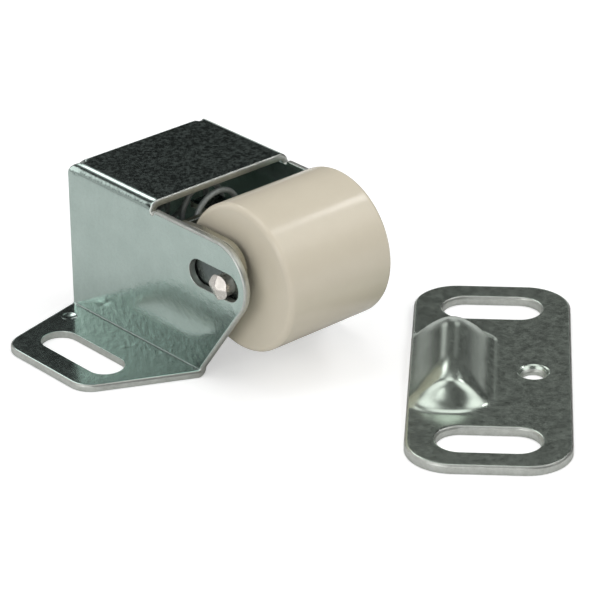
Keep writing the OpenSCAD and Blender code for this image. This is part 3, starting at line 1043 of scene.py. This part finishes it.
@dataclass
class StrikePlate(StampedSheet):
    """The stamped strike: a plate with a hollow hipped ridge, two slots and a countersunk hole."""

    node: Node = Node.STRIKE_PLATE
    body: Body = Body.CATCH
    slot: str = "strike_zinc"
    plated: Finish = STRIKE_ZINC
    sheared: Finish = SHEARED_ZINC
    sheet: float = 1.3 * MM
    roll_r: float = 0.42 * MM
    roll_drop: float = 0.42 * MM
    hole_share: float = 1.0
    width: float = 21.1 * MM
    length: float = 49.6 * MM
    corner_r: float = 6.0 * MM
    turn_deg: float = -45.8
    slot_w: float = 6.2 * MM
    slot_l: float = 13.2 * MM
    slot_pitch: float = 36.2 * MM
    hole_d: float = 2.8 * MM
    countersink_d: float = 4.2 * MM
    hole_edge: float = 5.0 * MM
    ridge_w: float = 10.8 * MM
    ridge_l: float = 22.8 * MM
    ridge_h: float = 4.3 * MM
    crest_l: float = 18.2 * MM
    crest_round: float = 2.0 * MM
    hip_blend: float = 4.4 * MM
    foot_blend: float = 1.0 * MM
    end_hollow: float = 0.35
    end_ease: float = 0.45
    end_round: float = 0.9 * MM
    wall: float = 1.1 * MM
    crown_share: float = 0.1
    rim_guard: float = 1.06
    grid: float = 0.4 * MM

    def __post_init__(self) -> None:
        """Works out the plate's place on the floor."""
        middle = box_middle(self.node)
        turn = Matrix.Rotation(math.radians(self.turn_deg), 4, "Z")
        self.place: Matrix = Matrix.Translation((middle.x, middle.y, 0.0)) @ turn
        self.hole: Point2 = (self.width / 2 - self.hole_edge, 0.0)

    def ridge(self, point: Point2, shrink: float) -> float:
        """Returns the ridge's height over the plate's face.

        Args:
            point: The place across and along the plate.
            shrink: How far the form is set inwards, for the hollow below.

        Returns:
            The height above the face, never below 0.
        """
        half = self.ridge_w / 2 - shrink
        across = point[0] + self.width / 2 - self.ridge_w / 2
        slope = self.ridge_h / (math.hypot(half, self.crest_round) - self.crest_round)
        side = self.ridge_h + slope * (self.crest_round - math.hypot(across, self.crest_round))
        reach = self.ridge_l / 2 - shrink - self.end_round * (across / half) ** 2
        up = (reach - abs(point[1])) / ((self.ridge_l - self.crest_l) / 2)
        steep = up * (1 - self.end_hollow + self.end_hollow * abs(up))
        end = self.ridge_h * (steep if up < 1 else 1 + self.end_ease * (up - 1))
        return smooth_max(smooth_min(side, end, self.hip_blend), 0.0, self.foot_blend)

    def pattern(self) -> Pattern:
        """Returns the plate's plan, with a grid of points for the ridge and a ring for the countersink."""
        x, y = self.width / 2, self.length / 2
        corners = [(-x, -y), (x, -y), (x, y), (-x, y)]
        outline = []
        for i, corner in enumerate(corners):
            outline += rounded_corner(corners[i - 1], corner, corners[(i + 1) % 4], self.corner_r, 20)
        ends = (self.slot_pitch / 2, -self.slot_pitch / 2)
        holes = [spaced(slot_ring((0.0, v), self.slot_l, self.slot_w, False), self.step) for v in ends]
        across, along = int(x / self.grid), int(y / self.grid)
        rows = range(-along, along + 1)
        cells = [(i * self.grid, j * self.grid) for i in range(-across, across + 1) for j in rows]
        rim = self.countersink_d / 2
        inner = [p for p in cells if math.dist(p, self.hole) > rim + self.grid]
        for r in (rim, self.rim_guard * rim):
            inner += arc_points(self.hole, r, RING_STEP_DEG, 360, RING_RUNS)
        holes.append(arc_points(self.hole, self.hole_d / 2, 360 - RING_STEP_DEG, 0, RING_RUNS))
        return Pattern(spaced(outline, self.step), holes, inner)

    def upper(self, point: Point2, drop: float) -> Vector:
        """Returns a place on the upper face, raised by the ridge and sunk at the countersink."""
        sink = max(self.countersink_d / 2 - math.dist(point, self.hole), 0.0)
        return self.place @ Vector((*point, self.sheet + self.ridge(point, 0.0) - max(drop, sink)))

    def lower(self, point: Point2, drop: float) -> Vector:
        """Returns a place on the lower face, which follows the ridge as a hollow."""
        hollow = self.ridge(point, self.wall) - self.crown_share * self.wall
        return self.place @ Vector((*point, max(hollow, drop)))


@dataclass
class AxlePin:
    """The axle pin: its solid's form with the pinched facets' edges softened."""

    head_x: float = 12.06 * MM
    upset: float = 1.14
    edge_round: float = 0.1 * MM
    edge_segments: int = 3
    edge_angle_deg: float = 20.0
    flat_angle_deg: float = 0.4
    weld: float = 0.0005 * MM

    def shape(self) -> bpy.types.Mesh:
        """Makes the pin's mesh from the solid's faces, with flat faces joined and sharp edges rounded.

        Returns:
            The new mesh.
        """
        form = bmesh.new()
        form.from_mesh(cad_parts[Node.AXLE_PIN.value].data)
        bmesh.ops.remove_doubles(form, verts=form.verts, dist=self.weld)
        bmesh.ops.dissolve_limit(form, verts=form.verts, edges=form.edges,
                                 angle_limit=math.radians(self.flat_angle_deg))
        axis = box_middle(Node.AXLE_PIN)
        for side in (1, -1):
            bmesh.ops.bisect_plane(form, geom=[*form.verts, *form.edges, *form.faces],
                                   plane_co=(side * self.head_x, 0.0, 0.0), plane_no=(1.0, 0.0, 0.0))
        for vert in form.verts:
            if abs(vert.co.x) > self.head_x + self.weld:
                vert.co.yz = axis.yz + (vert.co.yz - axis.yz) * self.upset
        limit = math.radians(self.edge_angle_deg)
        sharp = [e for e in form.edges if e.is_manifold and e.calc_face_angle() > limit]
        bmesh.ops.bevel(form, geom=sharp, offset=self.edge_round, offset_type="OFFSET",
                        segments=self.edge_segments, profile=0.5, affect="EDGES", clamp_overlap=True,
                        harden_normals=False)
        return smooth_mesh(form, "axle_pin_form")

    def build(self) -> bpy.types.Object:
        """Builds, dresses and places the pin.

        Returns:
            The new object.
        """
        piece = link_piece("axle_pin_piece", self.shape())
        piece.data.materials.clear()
        piece.data.materials.append(PIN_STEEL.material("pin_steel"))
        keep_flats(piece)
        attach(piece, Body.CARRIAGE.value)
        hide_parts(Node.AXLE_PIN.value)
        return piece


@dataclass
class Spring:
    """The compression coil between the bracket's rear tab and the yoke's web."""

    wire_r: float = 0.4 * MM
    turns: int = 6
    front_closed: float = 0.5
    end_gap: float = 0.02 * MM
    sides: int = 14
    rings_per_turn: int = 40

    def shape(self) -> bpy.types.Mesh:
        """Makes the swept wire, with closed end turns and capped ends.

        Returns:
            The new mesh.
        """
        low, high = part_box(Node.SPRING.value)
        centre = box_middle(Node.SPRING)
        coil_r = (high[2] - low[2]) / 2 - self.wire_r
        rear, front = high[1] - self.wire_r, low[1] + self.wire_r
        closed = 2 * self.wire_r + self.end_gap
        active = self.turns - 1 - self.front_closed
        pitch = (rear - front - (1 + self.front_closed) * closed) / active
        last = self.turns * self.rings_per_turn
        form = bmesh.new()
        rings = []
        for i in range(last + 1):
            t = i / self.rings_per_turn
            done = closed * min(t, 1) + pitch * min(max(t - 1, 0), active) + closed * max(t - 1 - active, 0)
            a = 2 * math.pi * t - math.pi / 2
            ring = []
            for k in range(self.sides):
                b = 2 * math.pi * k / self.sides
                r = coil_r + self.wire_r * math.cos(b)
                y = rear - done - self.wire_r * math.sin(b)
                ring.append(form.verts.new((centre.x + r * math.cos(a), y, centre.z + r * math.sin(a))))
            rings.append(ring)
        for here, there in zip(rings, rings[1:]):
            for k in range(self.sides):
                n = (k + 1) % self.sides
                form.faces.new((here[k], there[k], there[n], here[n]))
        form.faces.new(rings[0])
        form.faces.new(list(reversed(rings[-1])))
        bmesh.ops.recalc_face_normals(form, faces=form.faces)
        mesh = smooth_mesh(form, "spring_form")
        mesh.set_sharp_from_angle(angle=math.radians(60))
        return mesh

    def build(self) -> bpy.types.Object:
        """Builds the coil.

        Returns:
            The new object.
        """
        piece = link_piece("spring_piece", self.shape())
        piece.data.materials.append(SPRING_WIRE.material("spring_wire"))
        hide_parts(Node.SPRING.value)
        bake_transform(piece)
        return piece


@dataclass
class Roller:
    """The moulded roller, whose solid keeps its own form."""

    def build(self) -> bpy.types.Object:
        """Dresses the roller's solid.

        Returns:
            The roller's object.
        """
        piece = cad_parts[Node.ROLLER.value]
        piece.data.materials.clear()
        piece.data.materials.append(ROLLER_PLASTIC.material("roller_plastic"))
        return piece


@dataclass(frozen=True)
class PhotoCamera:
    """The camera, at the viewing angle of a product shot from the front left."""

    azimuth_deg: float = -41.698
    elevation_deg: float = 26.785
    roll_deg: float = -0.489
    distance: float = 399.9 * MM
    target: tuple[float, float, float] = (2.64 * MM, -17.5 * MM, 7.39 * MM)
    lens_mm: float = 183.07
    sensor_mm: float = 36.0

    def build(self) -> None:
        """Makes the camera and sets it as the scene's own."""
        data = bpy.data.cameras.new("photo_camera")
        data.lens = self.lens_mm
        data.sensor_width = self.sensor_mm
        data.clip_start = 0.01
        a, e, r = (math.radians(v) for v in (self.azimuth_deg, self.elevation_deg, self.roll_deg))
        back = Vector((math.sin(a) * math.cos(e), -math.cos(a) * math.cos(e), math.sin(e)))
        right = Vector((0.0, 0.0, 1.0)).cross(back).normalized()
        up = back.cross(right)
        turned = Matrix.Rotation(r, 3, back)
        axes = Matrix((turned @ right, turned @ up, back)).transposed().to_4x4()
        camera = bpy.data.objects.new("photo_camera", data)
        camera.matrix_world = Matrix.Translation(Vector(self.target) + back * self.distance) @ axes
        bpy.context.scene.collection.objects.link(camera)
        bpy.context.scene.camera = camera


@dataclass(frozen=True)
class SoftBox:
    """A round studio lamp that faces the object."""

    name: str
    azimuth_deg: float
    elevation_deg: float
    distance: float
    size: float
    watts: float
    mirrored: bool = True

    def build(self, aim: Vector) -> None:
        """Places the lamp.

        Args:
            aim: The point that the lamp faces.
        """
        data = bpy.data.lights.new(self.name, "AREA")
        data.shape = "DISK"
        data.size = self.size
        data.energy = self.watts
        lamp = bpy.data.objects.new(self.name, data)
        a, e = math.radians(self.azimuth_deg), math.radians(self.elevation_deg)
        away = Vector((math.sin(a) * math.cos(e), math.cos(a) * math.cos(e), math.sin(e)))
        lamp.location = aim + away * self.distance
        lamp.rotation_euler = away.to_track_quat("Z", "Y").to_euler()
        lamp.visible_glossy = self.mirrored
        bpy.context.scene.collection.objects.link(lamp)


@dataclass(frozen=True)
class SkySpot:
    """A bright zone of the surround with a soft border."""

    azimuth_deg: float
    elevation_deg: float
    inner_deg: float
    outer_deg: float
    level: float

    def brightness(self, shader: Shader, direction: bpy.types.NodeSocket) -> bpy.types.NodeSocket:
        """Adds the zone's nodes.

        Args:
            shader: The world's shader.
            direction: The socket that holds the direction looked in.

        Returns:
            The zone's brightness in that direction.
        """
        a, e = math.radians(self.azimuth_deg), math.radians(self.elevation_deg)
        middle = (math.sin(a) * math.cos(e), math.cos(a) * math.cos(e), math.sin(e))
        near = shader.add("ShaderNodeVectorMath", {0: direction, 1: middle}, operation="DOT_PRODUCT")
        zone = shader.add("ShaderNodeMapRange", {
            "Value": near.outputs["Value"], "From Min": math.cos(math.radians(self.outer_deg)),
            "From Max": math.cos(math.radians(self.inner_deg)), "To Max": self.level},
            interpolation_type="SMOOTHSTEP")
        return zone.outputs["Result"]


@dataclass(frozen=True)
class Studio:
    """Pale floor, dim surround and soft lamps."""

    floor_half: float = 3.0
    floor_colour: Colour = (0.75, 0.75, 0.75)
    floor_lift: float = 0.5
    surround: float = 0.012
    spots: tuple[SkySpot, ...] = (
        SkySpot(16.0, 46.0, 3.0, 13.0, 2.2),
        SkySpot(16.0, 45.0, 8.0, 23.0, 0.3),
        SkySpot(-34.0, 37.0, 3.0, 9.0, 0.26),
        SkySpot(-46.0, 0.0, 14.0, 22.0, 0.42),
        SkySpot(-23.0, 19.6, 14.0, 16.3, 1.2),
        SkySpot(-69.0, 55.0, 10.0, 28.0, 1.5),
        SkySpot(58.0, 14.0, 3.0, 8.0, 0.7),
        SkySpot(27.0, 13.0, 3.0, 8.0, 0.9),
        SkySpot(47.0, 3.0, 3.0, 9.0, 0.7),
        SkySpot(-86.0, 10.0, 6.0, 18.0, 1.5),
        SkySpot(143.0, 51.0, 8.0, 28.0, 1.5),
        SkySpot(40.0, 82.0, 6.0, 20.0, 1.4),
        SkySpot(-130.0, 3.0, 8.0, 22.0, 1.4),
    )
    lamps: tuple[SoftBox, ...] = (
        SoftBox("key_right", 102.3, 48.5, 0.9, 0.12, 0.32),
        SoftBox("key_fill", 104.0, 52.0, 0.9, 0.34, 0.8, mirrored=False),
        SoftBox("overhead", 20.0, 82.0, 1.0, 0.6, 0.95, mirrored=False),
        SoftBox("front_left", -110.0, 27.0, 1.0, 0.5, 1.85),
        SoftBox("front_right", 165.0, 30.0, 1.0, 0.7, 2.2, mirrored=False),
    )

    def floor(self) -> None:
        """Lays the pale floor, which the camera itself sees as white."""
        h = self.floor_half
        mesh = bpy.data.meshes.new("floor")
        mesh.from_pydata([(-h, -h, 0), (h, -h, 0), (h, h, 0), (-h, h, 0)], [], [(0, 1, 2, 3)])
        floor = link_piece("floor", mesh)
        made = bpy.data.materials.new("floor_paper")
        made.use_nodes = True
        made.node_tree.nodes.clear()
        shader = Shader(made.node_tree)
        surface = shader.add("ShaderNodeBsdfPrincipled", {
            "Base Color": rgba(self.floor_colour), "Roughness": 0.9, "Emission Color": rgba((1.0, 1.0, 1.0))})
        surface.inputs["Specular IOR Level"].default_value = 0.0
        rays = shader.add("ShaderNodeLightPath")
        shader.feed(surface.inputs["Emission Strength"],
                    shader.math("MULTIPLY", rays.outputs["Is Camera Ray"], self.floor_lift))
        shader.add("ShaderNodeOutputMaterial", {"Surface": surface.outputs["BSDF"]})
        mesh.materials.append(made)

    def world(self) -> None:
        """Sets the dim surround with its bright zones, which the camera itself sees as white."""
        made = bpy.data.worlds.new("surround")
        made.use_nodes = True
        made.node_tree.nodes.clear()
        shader = Shader(made.node_tree)
        direction = shader.add("ShaderNodeTexCoord").outputs["Generated"]
        total: object = self.surround
        for spot in self.spots:
            total = shader.math("ADD", total, spot.brightness(shader, direction))
        rays = shader.add("ShaderNodeLightPath")
        level = shader.math("MAXIMUM", total, rays.outputs["Is Camera Ray"])
        light = shader.add("ShaderNodeBackground", {"Color": rgba((1.0, 1.0, 1.0)), "Strength": level})
        shader.add("ShaderNodeOutputWorld", {"Surface": light.outputs["Background"]})
        bpy.context.scene.world = made

    def build(self, aim: Vector) -> None:
        """Sets up floor, surround and lamps.

        Args:
            aim: The point that the lamps face.
        """
        self.floor()
        self.world()
        for lamp in self.lamps:
            lamp.build(aim)


def main() -> None:
    """Builds the camera, the studio and every piece, and logs each piece's face count."""
    logging.basicConfig(level=logging.INFO, format="%(name)s: %(message)s")
    bpy.context.scene.view_settings.view_transform = "Standard"
    camera = PhotoCamera()
    camera.build()
    Studio().build(Vector(camera.target))
    pieces = [Bracket(), Yoke(), AxlePin(), Roller(), Spring(), StrikePlate()]
    for piece in pieces:
        made = piece.build()
        LOG.info("%s: %d faces", made.name, len(made.data.polygons))


if __name__ == "__main__":
    main()
